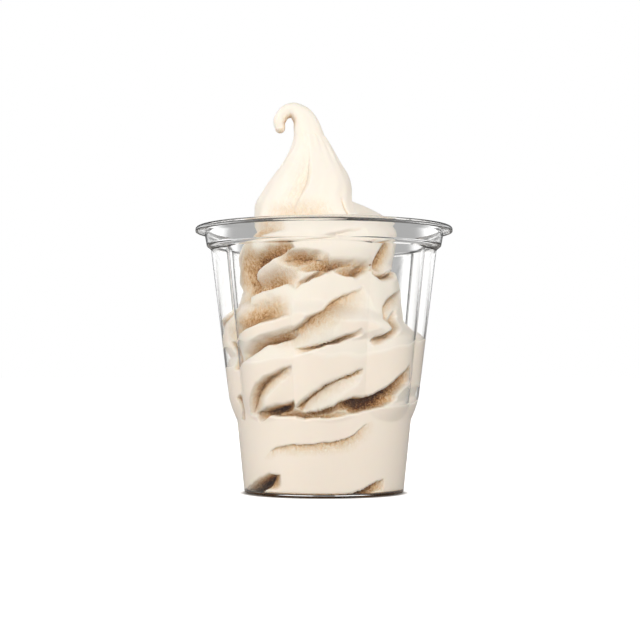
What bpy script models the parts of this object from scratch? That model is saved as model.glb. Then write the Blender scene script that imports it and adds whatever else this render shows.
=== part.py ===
"""A soft serve cup: a clear lobed dessert cup holding one piped swirl of soft serve with a curled tip.

Metres, +Z up. The origin is the centre of the foot, on the surface the cup stands on, and the
shown side faces -Y. Angles are in degrees round the axis, 0 at the front, growing towards +X.
"""

import math
from collections import namedtuple

import bpy
import numpy as np

# Cup
CUP_HEIGHT = 0.0945
RIM_RADIUS = 0.0460
WALL = 0.0006
FOOT_RADIUS = 0.0283
FOOT_LAND = 0.0026
FOOT_EDGE = 0.0006
FOOT_RECESS = 0.0008
CONE_SLOPE = 0.105
LOBE_COUNT = 8
LOBE_TURN = 26.0
LOBE_START = 0.0256
LOBE_ARCH = 0.0066
LOBE_RUN = 0.0090
LOBE_BULGE_LOW = 0.0014
LOBE_BULGE_GROWTH = 0.0208
SIDE_STOPS = (0.0130, LOBE_START, 0.0275, 0.0295, 0.0320, 0.0350, 0.0400, 0.0520, 0.0650, 0.0760, 0.0830)
SHOULDER_LOW = 0.0862
SHOULDER_TOP = 0.0880
COLLAR_STOP = 0.0870
COLLAR_RADIUS_LOW = 0.0420
COLLAR_RADIUS_TOP = 0.0428
RIM_BEAD = 0.0019
RIM_EDGE = 0.0006
RIM_INNER_EDGE = 0.0004
SHOULDER_EDGE = 0.0006
SHOULDER_FALL = 0.0010
INNER_FALL = 0.0002

# Soft serve
FIT_GAP = 0.0003
COIL_PITCH = 0.0232
COIL_LINE_FRONT = 0.0755
COIL_ROUNDING = 0.0021
ROUNDING_LOW = 0.0180
COIL_CENTRE = -0.0022
PRESS = 0.0011
FILL_BLEND = 0.0075
TOP_COIL_SHOULDER = 0.0085
TUCK_START = 118.0
TUCK_END = 236.0
FOOT_ROUND = 0.0010
FOOT_ROUND_RISE = 0.0016

# Height where the swirl leaves the wall, round the cup
FILL_LINE = (
    (-180, 0.0585), (-90, 0.0625), (-45, 0.0615), (-12, 0.0640), (20, 0.0622), (50, 0.0592),
    (90, 0.0580), (180, 0.0585),
)
# Height where the top turn of the rope ends under the peak, from one turn before the front to the back
TOP_COIL_LINE = (
    (-360, 0.0733), (-275, 0.0768), (-235, 0.0830), (-180, 0.0850), (-90, 0.0915), (-70, 0.0932),
    (-36, 0.0950), (0, 0.0965), (45, 0.0978), (85, 0.1000), (110, 0.1042), (125, 0.1062),
    (150, 0.1075), (180, 0.1080), (240, 0.1080),
)
# Radius of the free coils and of the peak, by height or, along the curl, by length of the spine
PROFILE = (
    (0.0000, 0.0305), (0.0550, 0.0322), (0.0620, 0.0314), (0.0660, 0.0303), (0.0720, 0.0296),
    (0.0800, 0.0288), (0.0880, 0.0285), (0.1000, 0.0275), (0.1100, 0.0250),
)
PEAK = (
    (0.0680, 0.0245), (0.0860, 0.0215), (0.0940, 0.0200), (0.0970, 0.0192), (0.1001, 0.0181),
    (0.1029, 0.0175), (0.1058, 0.0166), (0.1087, 0.0156), (0.1115, 0.0143), (0.1144, 0.0127),
    (0.1173, 0.0109), (0.1201, 0.0093), (0.1230, 0.0077), (0.1258, 0.0063), (0.1273, 0.0056),
)
PEAK_CENTRE = (
    (0.0500, 0.0000), (0.0600, 0.0000), (0.0750, -0.0020), (0.0880, -0.0022), (0.0970, -0.0060),
    (0.1029, -0.0071), (0.1087, -0.0056), (0.1144, -0.0046), (0.1200, -0.0044), (0.1258, -0.0048),
    (0.1273, -0.0052),
)
# The curl of the tip: place across, height and radius at each stop of its spine
CURL = (
    (-0.0052, 0.1273, 0.00560), (-0.0063, 0.1316, 0.00470), (-0.0082, 0.1350, 0.00375),
    (-0.0113, 0.1369, 0.00285), (-0.0144, 0.1358, 0.00240), (-0.0160, 0.1330, 0.00220),
    (-0.0158, 0.1304, 0.00180),
)

# A fold of the piped rope: a lip along its course, and beside it a recess that comes out again. The lip is
# on the left of the way the course runs, so a course towards +X has its lip above and one towards -X has
# it below. The recess's width goes from its first value to its last. Its form is RAMP, out again in
# one slope, BOWL, soft on its far side too, or VOID, as steep on its far side as under the lip.
RAMP, BOWL, VOID = "ramp", "bowl", "void"
END_FADE = {RAMP: 0.6, BOWL: 1.0, VOID: 0.75}
Fold = namedtuple("Fold", "course form depth lip width last_width", defaults=(None,))

FOLDS = (
    # Foot of the swirl
    Fold(((-45, 0.0130), (-35, 0.0165), (-27, 0.0178), (-3, 0.0187), (15, 0.0203), (24, 0.0236),
         (33, 0.0268)), RAMP, 0.0020, 0.0004, 0.0040, 0.0080),
    Fold(((-92, 0.0004), (-74, 0.0024), (-58, 0.0052), (-46, 0.0077), (-30, 0.0079)), VOID, 0.0085, 0.0006,
         0.0052, 0.0056),
    Fold(((3, 0.0001), (15, 0.0012), (25, 0.0029), (34, 0.0047), (47, 0.0060)), VOID, 0.0075, 0.0006,
         0.0030, 0.0040),
    # Between the foot and the third coil
    Fold(((-49, 0.0286), (-33, 0.0319), (-19, 0.0329)), VOID, 0.0090, 0.0006, 0.0038, 0.0042),
    Fold(((-16, 0.0282), (-10, 0.0296), (-1, 0.0308), (7, 0.0323), (16, 0.0335)), VOID, 0.0065, 0.0006,
         0.0030),
    Fold(((2, 0.0312), (14, 0.0343), (27, 0.0353), (38, 0.0380), (50, 0.0425), (60, 0.0455)), VOID, 0.0098,
         0.0006, 0.0036, 0.0066),
    Fold(((12, 0.0303), (24, 0.0318), (36, 0.0336), (48, 0.0366)), VOID, 0.0070, 0.0006, 0.0024, 0.0034),
    Fold(((30, 0.0300), (4, 0.0271), (-15, 0.0269), (-36, 0.0277), (-50, 0.0286)), BOWL, 0.0048, 0.0007,
         0.0046),
    # Across the third coil
    Fold(((-19, 0.0308), (-17, 0.0322), (-12.6, 0.0349), (-7, 0.0373), (0.6, 0.0400), (9, 0.0420),
         (18, 0.0434), (24, 0.0440)), RAMP, 0.0058, 0.0006, 0.0100, 0.0085),
    Fold(((-54, 0.0280), (-51, 0.0331), (-46.5, 0.0372), (-40, 0.0403), (-31, 0.0427), (-19, 0.0450)), RAMP,
         0.0064, 0.0007, 0.0105, 0.0066),
    # Between the third and the second coil
    Fold(((-10, 0.0560), (-19, 0.0538), (-26, 0.0522), (-37, 0.0505), (-51, 0.0468), (-66, 0.0440)), BOWL,
         0.0068, 0.0007, 0.0070, 0.0040),
    Fold(((28, 0.0532), (39, 0.0566), (48, 0.0602), (62, 0.0644)), VOID, 0.0062, 0.0007, 0.0026),
    # Across the second coil
    Fold(((-36, 0.0545), (-23, 0.0560), (-14, 0.0586), (-10, 0.0607), (-4, 0.0625), (6, 0.0664),
         (17, 0.0688), (33, 0.0715)), RAMP, 0.0056, 0.0009, 0.0085, 0.0115),
    Fold(((-16, 0.0622), (-30, 0.0608), (-44, 0.0588), (-58, 0.0560), (-74, 0.0530)), BOWL, 0.0054, 0.0016,
         0.0120),
    Fold(((39, 0.0602), (43, 0.0618), (46, 0.0652), (56, 0.0684), (70, 0.0705), (86, 0.0712)), RAMP, 0.0052,
         0.0009, 0.0058),
    # Under the top coil, whose underside draws in before the second coil comes out
    Fold(((-15, 0.0710), (-23.5, 0.0728), (-33, 0.0715), (-48, 0.0698), (-66, 0.0668), (-90, 0.0640)), BOWL,
         0.0050, 0.0008, 0.0110, 0.0070),
    Fold(((43, 0.0785), (38, 0.0770), (28.4, 0.0748), (20, 0.0754), (10, 0.0768)), BOWL, 0.0056, 0.0007,
         0.0056),
    Fold(((118, 0.0800), (92, 0.0784), (70, 0.0755), (52, 0.0744), (46, 0.0760), (40, 0.0784)), BOWL,
         0.0048, 0.0007, 0.0034),
    # Across the top coil
    Fold(((-16, 0.0856), (-22, 0.0844), (-39, 0.0802), (-51, 0.0767), (-54, 0.0704), (-56, 0.0640)), BOWL,
         0.0054, 0.0010, 0.0030, 0.0150),
    Fold(((46, 0.0796), (17, 0.0781), (9, 0.0768), (0, 0.0771), (-24, 0.0772)), BOWL, 0.0050, 0.0009,
         0.0046, 0.0115),
    Fold(((6, 0.0806), (-12, 0.0808), (-32, 0.0806)), BOWL, 0.0056, 0.0034, 0.0050),
    Fold(((40.5, 0.0790), (44, 0.0815), (50, 0.0855), (59, 0.0882), (72, 0.0902)), BOWL, 0.0056, 0.0008,
         0.0105),
    Fold(((-18, 0.0868), (0, 0.0884), (18, 0.0904), (40, 0.0925)), RAMP, 0.0018, 0.0010, 0.0060),
    # Up the peak, from its top down
    Fold(((-8, 0.1245), (-4, 0.1158), (-1, 0.1090), (-4, 0.1045), (-12, 0.1000), (-24, 0.0965)), BOWL,
         0.0034, 0.0014, 0.0085, 0.0120),
    Fold(((48, 0.0985), (10, 0.0975), (-30, 0.0965), (-60, 0.0960)), BOWL, 0.0016, 0.0014, 0.0085),
    Fold(((-16, 0.0925), (-40, 0.0915), (-62, 0.0900), (-84, 0.0885)), BOWL, 0.0026, 0.0014, 0.0080),
)
# Folds of the side that is not shown
HIDDEN_FROM = 84.0
HIDDEN_TO = 288.0
HIDDEN_SEED = 7
HIDDEN_LIP = 0.0009
HIDDEN_WAVE = 0.0010
HIDDEN_SEAM_DEPTH = 0.0056
HIDDEN_SEAM_WIDTH = 0.0050
HIDDEN_FOLD_DEPTH = 0.0046
HIDDEN_FOLD_WIDTH = 0.0090
HIDDEN_FOLD_STEP = 38.0
HIDDEN_FOLD_ARC = 56.0
HIDDEN_FOLD_FOOT = 0.0020
HIDDEN_FOLD_RISE = 0.0205
# Turn of the coil, share of the full rise, and the angle its folds end at
HIDDEN_ROWS = ((-2, 1.0, 258.0), (-1, 1.0, 258.0), (0, 0.7, 178.0))
TOP_SEAM_WIDTH = 0.0060
TOP_SEAM = (
    (84, 0.0800), (118, 0.0804), (152, 0.0815), (186, 0.0838), (220, 0.0865), (254, 0.0893), (290, 0.0925),
)
PEAK_FOLD_ANGLES = (130.0, 186.0, 246.0)
PEAK_FOLD_COURSE = ((2.0, 0.1240), (0.0, 0.1160), (-2.0, 0.1080), (-10.0, 0.1010))
PEAK_FOLD_DEPTH = 0.0016
PEAK_FOLD_LIP = 0.0014
PEAK_FOLD_WIDTH = 0.0090

# Mesh
CUP_SEGMENTS = 64
SERVE_SEGMENTS = 64
CURL_RINGS = 11
LEAST_LIP = 0.0020
FOOT_RINGS = (0.0250, 8)
SIDE_RINGS = (0.0274, 0.0835, 24)
TOP_RINGS = (0.0852, 0.1090, 15)
PEAK_RINGS = (0.1112, 6)
# Each point takes the mean of the form around it, this far to each side, so that no fold ends in steps
SPREAD_ANGLE = 2.0
SPREAD_HEIGHT = 0.0008
TIP_ROUNDING = ((0.82, 0.55), (0.45, 0.88))

Solid = namedtuple("Solid", "points faces")


def clear_scene():
    for item in list(bpy.data.objects):
        bpy.data.objects.remove(item, do_unlink=True)


def smooth_step(value):
    value = np.clip(value, 0.0, 1.0)
    return value * value * (3.0 - 2.0 * value)


def table_at(table, value):
    """The second column of a table of named stops, read at a value of the first."""
    stops = np.array(table)
    return np.interp(value, stops[:, 0], stops[:, 1])


def cup_radius(angle, height):
    """Outer radius of the lobed body: a plain cone with rounded panels standing out of it."""
    cone = FOOT_RADIUS + CONE_SLOPE * height
    panel = 360.0 / LOBE_COUNT
    across = (np.mod(angle - LOBE_TURN, panel) / panel) * 2.0 - 1.0
    arch = LOBE_START + LOBE_ARCH * (1.0 - np.sqrt(np.clip(1.0 - across**2, 0.0, 1.0)))
    rise = np.sin(0.5 * math.pi * np.clip((height - arch) / LOBE_RUN, 0.0, 1.0))
    bulge = LOBE_BULGE_LOW + LOBE_BULGE_GROWTH * height
    return cone + bulge * (1.0 - across**2) * rise


def smooth_course(course, samples=24):
    """Points along a soft curve through the stops of a fold."""
    stops = np.array(course, float)
    ends = np.vstack([2 * stops[0] - stops[1], stops, 2 * stops[-1] - stops[-2]])
    made = []
    for place in np.linspace(0.0, len(stops) - 1.000001, samples):
        first = int(place)
        t = place - first
        a, b, c, d = ends[first : first + 4]
        made.append(0.5 * (2 * b + (c - a) * t + (2 * a - 5 * b + 4 * c - d) * t**2
                           + (3 * b - a - 3 * c + d) * t**3))
    return np.array(made)


def recess(form, part):
    """How deep a recess is, from 1 under its lip to 0 where it is out again."""
    if form == RAMP:
        return (1.0 - part) ** 1.5
    if form == BOWL:
        return 0.5 + 0.5 * np.cos(math.pi * part)
    return (1.0 - part**2) ** 0.5


def fold_cut(angle, height, radius, fold):
    """How far a fold takes the surface in, at each angle and height."""
    course = smooth_course(fold.course)
    middle = course[:, 0].mean()
    angle = middle + np.mod(angle - middle + 180.0, 360.0) - 180.0
    across = np.radians(1.0) * radius
    nearest = np.full(angle.shape, np.inf)
    side = np.ones(angle.shape)
    along = np.zeros(angle.shape)
    for index, (start, end) in enumerate(zip(course[:-1], course[1:])):
        run = (end[0] - start[0]) * across
        rise = end[1] - start[1]
        u = (angle - start[0]) * across
        v = height - start[1]
        t = np.clip((u * run + v * rise) / (run**2 + rise**2), 0.0, 1.0)
        distance = np.hypot(u - t * run, v - t * rise)
        closer = distance < nearest
        nearest = np.where(closer, distance, nearest)
        side = np.where(closer, np.sign(run * v - rise * u), side)
        along = np.where(closer, (index + t) / (len(course) - 1), along)
    fade = np.sin(math.pi * np.clip(along, 0.0, 1.0)) ** END_FADE[fold.form]
    lip_side = 1.0 - smooth_step(nearest / max(fold.lip, LEAST_LIP))
    width = fold.width + ((fold.last_width or fold.width) - fold.width) * along
    far_side = recess(fold.form, np.clip(nearest / width, 0.0, 1.0))
    return fold.depth * fade * np.where(side > 0, lip_side, far_side)


def coil_line(angle):
    """Height of the seam between two turns of the coil: a helix that rises towards +X at the front."""
    return COIL_LINE_FRONT + COIL_PITCH * angle / 360.0


def hidden_folds():
    """The side the photo does not show, by the rule the front follows: a seam for each turn of the coil, with
    slanting folds between one seam and the next."""
    draw = np.random.default_rng(HIDDEN_SEED)
    folds = [Fold(TOP_SEAM[::-1], BOWL, HIDDEN_SEAM_DEPTH, HIDDEN_LIP, TOP_SEAM_WIDTH)]
    angles = np.linspace(HIDDEN_FROM, HIDDEN_TO, 9)
    for turn in (-2, -1):
        wave = HIDDEN_WAVE * draw.uniform(-1.0, 1.0, len(angles))
        seam = tuple(zip(angles, coil_line(angles) + turn * COIL_PITCH + wave))
        folds.append(Fold(seam[::-1], BOWL, HIDDEN_SEAM_DEPTH, HIDDEN_LIP, HIDDEN_SEAM_WIDTH))
    for turn, share, until in HIDDEN_ROWS:
        for angle in np.arange(HIDDEN_FROM + 4.0, until, HIDDEN_FOLD_STEP):
            start = angle + draw.uniform(-5.0, 5.0)
            foot = coil_line(start) + turn * COIL_PITCH + HIDDEN_FOLD_FOOT
            arc = HIDDEN_FOLD_ARC * draw.uniform(0.85, 1.1)
            rise = HIDDEN_FOLD_RISE * share
            bend = draw.uniform(0.8, 1.0)
            depth = HIDDEN_FOLD_DEPTH * draw.uniform(0.8, 1.2)
            course = tuple((start + arc * part, foot + rise * part**bend) for part in (0.0, 0.35, 0.7, 1.0))
            folds.append(Fold(course, RAMP, depth, HIDDEN_LIP, HIDDEN_FOLD_WIDTH))
    for angle in PEAK_FOLD_ANGLES:
        course = tuple((angle + lean, height) for lean, height in PEAK_FOLD_COURSE)
        folds.append(Fold(course, BOWL, PEAK_FOLD_DEPTH, PEAK_FOLD_LIP, PEAK_FOLD_WIDTH))
    return tuple(folds)


def shifted_circle(angle, radius, shift):
    """Distance from a point to a circle whose centre lies off it, by shift towards +X."""
    turn = np.radians(angle)
    return shift * np.sin(turn) + np.sqrt(radius**2 - (shift * np.cos(turn)) ** 2)


def shoulder(line, height):
    """How far a coil stands out below the line where it ends, as a rounded shoulder from 0 to 1."""
    reach = np.clip((line - height) / TOP_COIL_SHOULDER, 0.0, 1.0)
    return np.sqrt(1.0 - (1.0 - reach) ** 2)


def serve_radius(angle, height, centre, folds):
    """Radius of the swirl about its spine, before it meets the cup."""
    turn = np.mod(angle + 180.0, 360.0) - 180.0
    wall = cup_radius(angle, height) - WALL
    free = smooth_step((height - table_at(FILL_LINE, turn)) / FILL_BLEND + 0.5)
    phase = np.mod((height - coil_line(turn)) / COIL_PITCH, 1.0)
    rounding = COIL_ROUNDING * (2.0 * phase - 1.0) ** 2 * smooth_step((height - ROUNDING_LOW) / COIL_PITCH)
    coil = shifted_circle(angle, table_at(PROFILE, height), COIL_CENTRE - centre)
    body = (wall + PRESS) * (1.0 - free) + coil * free - rounding

    # The last turn of the coil draws in behind until it becomes the peak
    stands_out = np.zeros(height.shape)
    for turned in (turn - 360.0, turn, turn + 360.0):
        tuck = smooth_step((turned - TUCK_START) / (TUCK_END - TUCK_START))
        coil_end = shoulder(table_at(TOP_COIL_LINE, turned), height)
        stands_out = np.maximum(stands_out, coil_end * (1.0 - tuck))
    peak = table_at(PEAK, height)
    body = np.where(height > PEAK[0][0], peak + (np.maximum(body, peak) - peak) * stands_out, body)

    cuts = np.zeros(angle.shape)
    for fold in folds:
        cuts = np.maximum(cuts, fold_cut(angle, height, body, fold))
    return body - cuts


def curl_spine(rings):
    """Centres, directions and radii along the curled tip."""
    stops = smooth_course(CURL, rings + 1)
    centres = stops[:, :2]
    ahead = np.gradient(centres, axis=0)
    ahead /= np.linalg.norm(ahead, axis=1)[:, None]
    return centres[1:], ahead[1:], stops[1:, 2]


def ring_solid(rings):
    """A closed solid over rings of equal count, each end closed by a fan to its middle."""
    count = len(rings[0])
    points = [point for ring in rings for point in ring]
    faces = []
    for row in range(len(rings) - 1):
        for step in range(count):
            after = (step + 1) % count
            low, high = row * count, (row + 1) * count
            faces.append((low + step, low + after, high + after))
            faces.append((low + step, high + after, high + step))
    for row, flip in ((0, True), (len(rings) - 1, False)):
        points.append(tuple(np.mean(rings[row], axis=0)))
        for step in range(count):
            edge = (row * count + step, row * count + (step + 1) % count)
            faces.append((edge[1], edge[0], len(points) - 1) if flip else (*edge, len(points) - 1))
    return Solid(points, faces)


def around(angles, radii, height):
    """One ring of points about the axis, from its radius at each angle or one radius for all."""
    turn = np.radians(angles)
    return [(x, y, height) for x, y in zip(radii * np.sin(turn), -radii * np.cos(turn))]


def cup_rings():
    """Rings of the cup from the middle of its underside up the outside, over the rim and down the inside."""
    angles = LOBE_TURN + np.arange(CUP_SEGMENTS) * 360.0 / CUP_SEGMENTS
    inner_foot = FOOT_RADIUS - FOOT_LAND
    under_rim = CUP_HEIGHT - RIM_BEAD
    floor = FOOT_RECESS + WALL
    rings = [
        around(angles, inner_foot * 0.5, FOOT_RECESS),
        around(angles, inner_foot - FOOT_RECESS * 0.5, FOOT_RECESS),
        around(angles, inner_foot, 0.0),
        around(angles, FOOT_RADIUS - FOOT_EDGE, 0.0),
        around(angles, FOOT_RADIUS, FOOT_EDGE),
    ]
    rings += [around(angles, cup_radius(angles, height), height) for height in (*SIDE_STOPS, SHOULDER_LOW)]
    rings += [
        around(angles, COLLAR_RADIUS_LOW - SHOULDER_EDGE, SHOULDER_TOP - SHOULDER_FALL),
        around(angles, COLLAR_RADIUS_LOW, SHOULDER_TOP),
        around(angles, COLLAR_RADIUS_TOP, under_rim),
        around(angles, RIM_RADIUS - RIM_EDGE, under_rim),
        around(angles, RIM_RADIUS, under_rim + RIM_EDGE),
        around(angles, RIM_RADIUS, CUP_HEIGHT - RIM_EDGE),
        around(angles, RIM_RADIUS - RIM_EDGE, CUP_HEIGHT),
        around(angles, COLLAR_RADIUS_TOP + RIM_INNER_EDGE, CUP_HEIGHT),
        around(angles, COLLAR_RADIUS_TOP - WALL, CUP_HEIGHT - RIM_INNER_EDGE * 2.0),
        around(angles, COLLAR_RADIUS_LOW - WALL, SHOULDER_TOP + INNER_FALL),
        around(angles, COLLAR_RADIUS_LOW - WALL - SHOULDER_EDGE, SHOULDER_TOP + INNER_FALL - SHOULDER_FALL),
    ]
    inside = (SHOULDER_LOW, *SIDE_STOPS[::-1])
    rings += [around(angles, cup_radius(angles, height) - WALL, height) for height in inside]
    rings += [
        around(angles, FOOT_RADIUS - WALL, floor + FOOT_RECESS),
        around(angles, FOOT_RADIUS - WALL - FOOT_RECESS, floor),
        around(angles, inner_foot * 0.5, floor),
    ]
    return rings


def inner_wall(angle, height):
    """Radius of the cup's inner face, straight from one ring of its mesh to the next."""
    stops = (0.0, *SIDE_STOPS, SHOULDER_LOW, COLLAR_STOP, CUP_HEIGHT)
    radii = [cup_radius(angle, min(stop, COLLAR_STOP)) for stop in stops]
    above = min(int(np.searchsorted(stops, height)), len(stops) - 1)
    part = (height - stops[above - 1]) / (stops[above] - stops[above - 1])
    return radii[above - 1] * (1.0 - part) + radii[above] * part - WALL


def serve_rings():
    """Rings of the swirl from its flat foot up to the end of the curl."""
    angles = LOBE_TURN + np.arange(SERVE_SEGMENTS) * 360.0 / SERVE_SEGMENTS
    base = FOOT_RECESS + WALL + FIT_GAP
    heights = np.concatenate([
        np.linspace(base, *FOOT_RINGS),
        np.linspace(*SIDE_RINGS),
        np.linspace(*TOP_RINGS),
        np.linspace(PEAK_RINGS[0], CURL[0][1], PEAK_RINGS[1]),
    ])
    folds = FOLDS + hidden_folds()
    rings = []
    for height in heights:
        centre = table_at(PEAK_CENTRE, height)
        radii = np.zeros(SERVE_SEGMENTS)
        for aside in (-SPREAD_ANGLE, 0.0, SPREAD_ANGLE):
            for rise in (-SPREAD_HEIGHT, 0.0, SPREAD_HEIGHT):
                radii += serve_radius(angles + aside, np.full(SERVE_SEGMENTS, height + rise), centre, folds)
        radii /= 9.0
        turn = np.radians(angles)
        across = centre + radii * np.sin(turn)
        depth = -radii * np.cos(turn)
        out = np.hypot(across, depth)
        round_axis = np.degrees(np.arctan2(across, -depth))
        foot_round = FOOT_ROUND * (1.0 - smooth_step((height - base) / FOOT_ROUND_RISE))
        limit = inner_wall(round_axis, height) - FIT_GAP - foot_round
        keep = np.minimum(1.0, limit / out) if height < CUP_HEIGHT else 1.0
        rings.append([(x, y, height) for x, y in zip(across * keep, depth * keep)])
    rings.insert(0, [(x * 0.5, y * 0.5, z) for x, y, z in rings[0]])
    for centre, ahead, radius in zip(*curl_spine(CURL_RINGS)):
        ring = []
        for turn in np.radians(angles):
            out = radius * math.sin(turn)
            ring.append((centre[0] + out * ahead[1], -radius * math.cos(turn), centre[1] - out * ahead[0]))
        rings.append(ring)
    end, ahead, radius = rings[-1], curl_spine(CURL_RINGS)[1][-1], CURL[-1][2]
    middle = np.mean(end, axis=0)
    step = np.array((ahead[0], 0.0, ahead[1]))
    for swell, push in TIP_ROUNDING:
        middle_out = middle + step * radius * push
        rings.append([tuple(middle_out + (np.array(point) - middle) * swell) for point in end])
    return rings


def material(name, colour, roughness, alpha=1.0, transmission=0.0):
    made = bpy.data.materials.new(name)
    made.use_nodes = True
    shader = made.node_tree.nodes["Principled BSDF"]
    shader.inputs["Base Color"].default_value = (*colour, 1.0)
    shader.inputs["Roughness"].default_value = roughness
    shader.inputs["Metallic"].default_value = 0.0
    shader.inputs["Alpha"].default_value = alpha
    shader.inputs["Transmission Weight"].default_value = transmission
    return made


def add_object(name, solid, finish, sharp_angle):
    mesh = bpy.data.meshes.new(name)
    mesh.from_pydata(solid.points, [], solid.faces)
    mesh.materials.append(finish)
    mesh.shade_smooth()
    mesh.set_sharp_from_angle(angle=math.radians(sharp_angle))
    mesh.validate()
    made = bpy.data.objects.new(name, mesh)
    bpy.context.scene.collection.objects.link(made)
    return made


def build_cup():
    finish = material("clear_plastic", (0.95, 0.96, 0.96), 0.05, alpha=0.35, transmission=1.0)
    return add_object("cup", ring_solid(cup_rings()), finish, 30.0)


def build_soft_serve():
    finish = material("soft_serve", (0.93, 0.85, 0.73), 0.55)
    return add_object("soft_serve", ring_solid(serve_rings()), finish, 60.0)


def main():
    clear_scene()
    build_cup()
    build_soft_serve()


if __name__ == "__main__":
    main()
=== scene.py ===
"""Looks of the soft serve cup: the clear lobed cup and the piped swirl in it, on a plain white floor.

Metres, +Z up. The shown side faces -Y. Angles are in degrees round the axis, 0 at the front, growing
towards +X. The swirl and the cup have the named sizes of their solids, with finer meshes and with a few
small folds more.
"""

import math
from collections import namedtuple

import bpy
import numpy as np
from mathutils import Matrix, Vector


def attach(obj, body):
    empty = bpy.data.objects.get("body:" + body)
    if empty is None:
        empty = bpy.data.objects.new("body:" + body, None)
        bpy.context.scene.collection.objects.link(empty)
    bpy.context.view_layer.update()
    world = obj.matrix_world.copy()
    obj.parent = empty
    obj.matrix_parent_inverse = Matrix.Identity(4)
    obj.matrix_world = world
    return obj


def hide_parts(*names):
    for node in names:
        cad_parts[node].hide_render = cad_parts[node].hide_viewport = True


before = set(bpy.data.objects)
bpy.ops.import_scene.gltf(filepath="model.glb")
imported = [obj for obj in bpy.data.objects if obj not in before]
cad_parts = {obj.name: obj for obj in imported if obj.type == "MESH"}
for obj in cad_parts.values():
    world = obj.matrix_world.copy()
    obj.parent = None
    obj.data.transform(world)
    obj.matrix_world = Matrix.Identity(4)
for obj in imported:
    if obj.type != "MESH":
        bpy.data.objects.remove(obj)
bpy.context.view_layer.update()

# Cup
CUP_HEIGHT = 0.0945
RIM_RADIUS = 0.0460
WALL = 0.0006
FOOT_RADIUS = 0.0283
FOOT_LAND = 0.0026
FOOT_EDGE = 0.0007
FOOT_RECESS = 0.0004
LAND_ROUND = 0.0002
CONE_SLOPE = 0.105
LOBE_COUNT = 8
LOBE_TURN = 26.0
LOBE_START = 0.0256
LOBE_ARCH = 0.0066
LOBE_RUN = 0.0090
LOBE_BULGE_LOW = 0.0014
LOBE_BULGE_GROWTH = 0.0208
CREASE_FILLET = 0.035
SHOULDER_LOW = 0.0862
SHOULDER_TOP = 0.0880
COLLAR_RADIUS_LOW = 0.0420
COLLAR_RADIUS_TOP = 0.0428
RIM_SKIRT = 0.0019
RIM_THICKNESS = 0.0008
COLLAR_FILLET = 0.0007
COLLAR_GAP = 0.0002
SKIRT_FILLET = 0.0005
SKIRT_ROUND = 0.0004
RIM_ROUND = 0.0009
THROAT_ROUND = 0.0010
THROAT_FOOT = 0.0006
INNER_FOOT_INSET = 0.0007
INNER_FOOT_ROUND = 0.0008
UNDERSIDE_EDGE = 0.0012
# Radii of the flat rings on its underside and on its floor
UNDERSIDE_RADII = (0.004, 0.012, 0.020)
FLOOR_RADII = (0.022, 0.014, 0.005)
# Heights of the rings up its side: from, to and how many
CONE_RINGS = (0.0030, 0.0240, 8)
LOBE_FOOT_RINGS = (0.0250, 0.0440, 39)
LOBE_RINGS = (0.0455, SHOULDER_LOW, 28)
# Where dark is painted on the plastic: a line on the bead of the rim for its dark refraction, and
# painted shadow at the foot's edge
BEAD_LINE = 0.0936
BEAD_REACH = 0.0007
FOOT_PAINTED_SHADOW_SHARE = 0.75

# Soft serve
COIL_PITCH = 0.0232
COIL_LINE_FRONT = 0.0755
COIL_ROUNDING = 0.0021
ROUNDING_LOW = 0.0180
COIL_CENTRE = -0.0022
PRESS = 0.0011
INTO_WALL = 0.00015
FILL_BLEND = 0.0075
PRESSED_REACH = 0.0003
MEAN_RADIUS = 0.0310
TOP_COIL_SHOULDER = 0.0085
TUCK_START = 118.0
TUCK_END = 236.0
SEED = 7

# Height where the swirl leaves the wall, round the cup
FILL_LINE = (
    (-180, 0.0585), (-90, 0.0625), (-45, 0.0615), (-12, 0.0640), (20, 0.0622), (50, 0.0592),
    (90, 0.0580), (180, 0.0585),
)
# Height where the top turn of the rope ends under the peak, from one turn before the front to the back
TOP_COIL_LINE = (
    (-360, 0.0733), (-275, 0.0768), (-235, 0.0830), (-180, 0.0850), (-90, 0.0915), (-70, 0.0932),
    (-36, 0.0950), (0, 0.0965), (45, 0.0978), (85, 0.1000), (110, 0.1042), (125, 0.1062),
    (150, 0.1075), (180, 0.1080), (240, 0.1080),
)
# Radius of the free coils and of the peak, by height
PROFILE = (
    (0.0000, 0.0305), (0.0550, 0.0322), (0.0620, 0.0314), (0.0660, 0.0303), (0.0720, 0.0296),
    (0.0800, 0.0288), (0.0880, 0.0285), (0.1000, 0.0275), (0.1100, 0.0250),
)
PEAK = (
    (0.0680, 0.0245), (0.0860, 0.0215), (0.0940, 0.0200), (0.0970, 0.0192), (0.1001, 0.0181),
    (0.1029, 0.0175), (0.1058, 0.0166), (0.1087, 0.0156), (0.1115, 0.0143), (0.1144, 0.0127),
    (0.1173, 0.0109), (0.1201, 0.0093), (0.1230, 0.0077), (0.1258, 0.0063), (0.1273, 0.0056),
)
PEAK_CENTRE = (
    (0.0500, 0.0000), (0.0600, 0.0000), (0.0750, -0.0020), (0.0880, -0.0022), (0.0970, -0.0060),
    (0.1029, -0.0071), (0.1087, -0.0056), (0.1144, -0.0046), (0.1200, -0.0044), (0.1258, -0.0048),
    (0.1273, -0.0052),
)
# The curl of the tip: place across, height and radius at each stop of its spine
CURL = (
    (-0.0052, 0.1273, 0.00560), (-0.0063, 0.1316, 0.00470), (-0.0082, 0.1350, 0.00375),
    (-0.0113, 0.1369, 0.00285), (-0.0144, 0.1358, 0.00240), (-0.0160, 0.1330, 0.00220),
    (-0.0158, 0.1304, 0.00180),
)
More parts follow.
